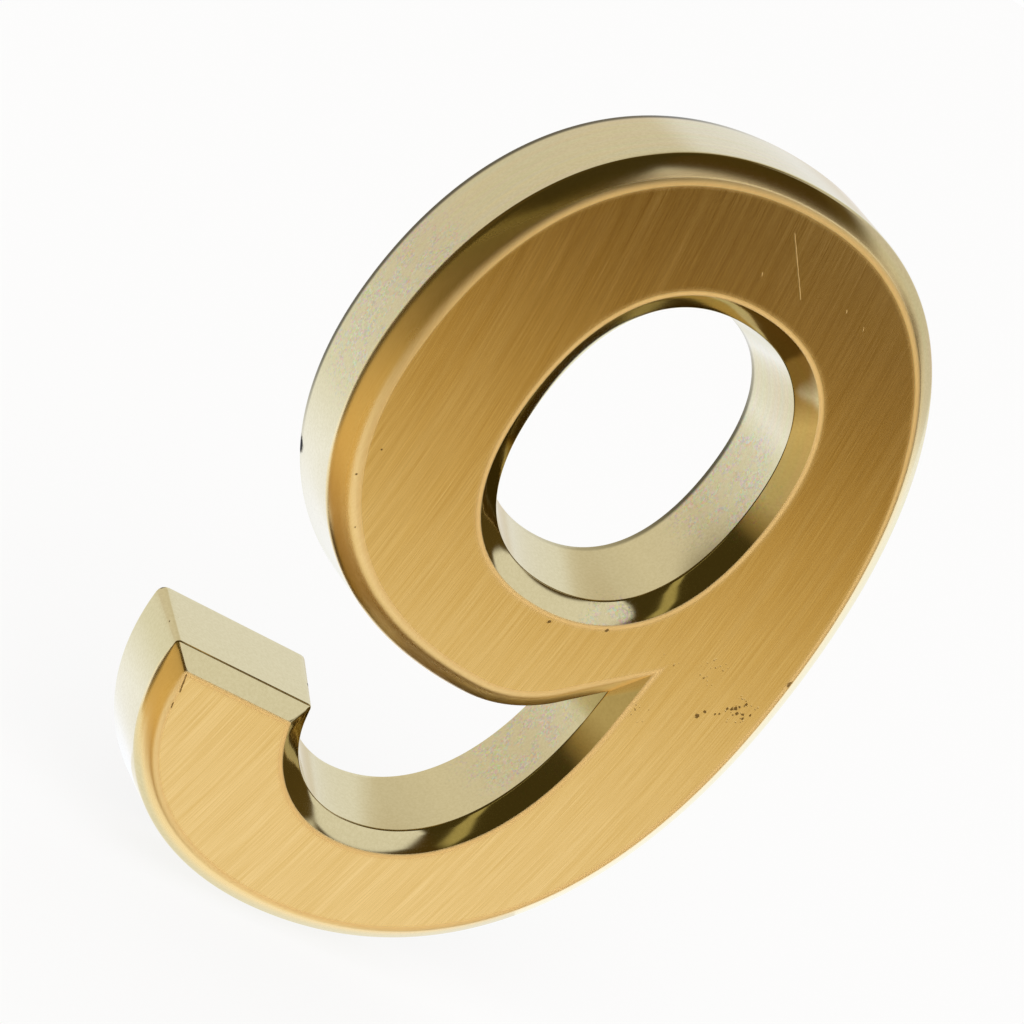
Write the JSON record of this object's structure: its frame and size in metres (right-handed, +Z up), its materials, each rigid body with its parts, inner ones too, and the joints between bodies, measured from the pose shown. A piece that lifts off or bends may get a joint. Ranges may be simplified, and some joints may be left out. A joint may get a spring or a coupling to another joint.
{
  "type": "plastic door number",
  "caption": "Moulded numeral nine with drafted sides, a bevelled edge and a cored-out back, gold plated and brushed, for sticking to a door.",
  "frame": {"origin": "on the back rim, in the middle of the rim just under the counter, where the number lies on the door", "axes": "+Z up the number, +X to the right for someone facing the door, +Y into the door, so that the face looks along -Y"},
  "size_m": [0.0476, 0.0076, 0.0699],
  "materials": {
    "plated_plastic": "gold plated over plastic, brushed on the face and polished on the bevels"
  },
  "bodies": {
    "root": {"door_number": "plated_plastic"}
  },
  "joints": []
}
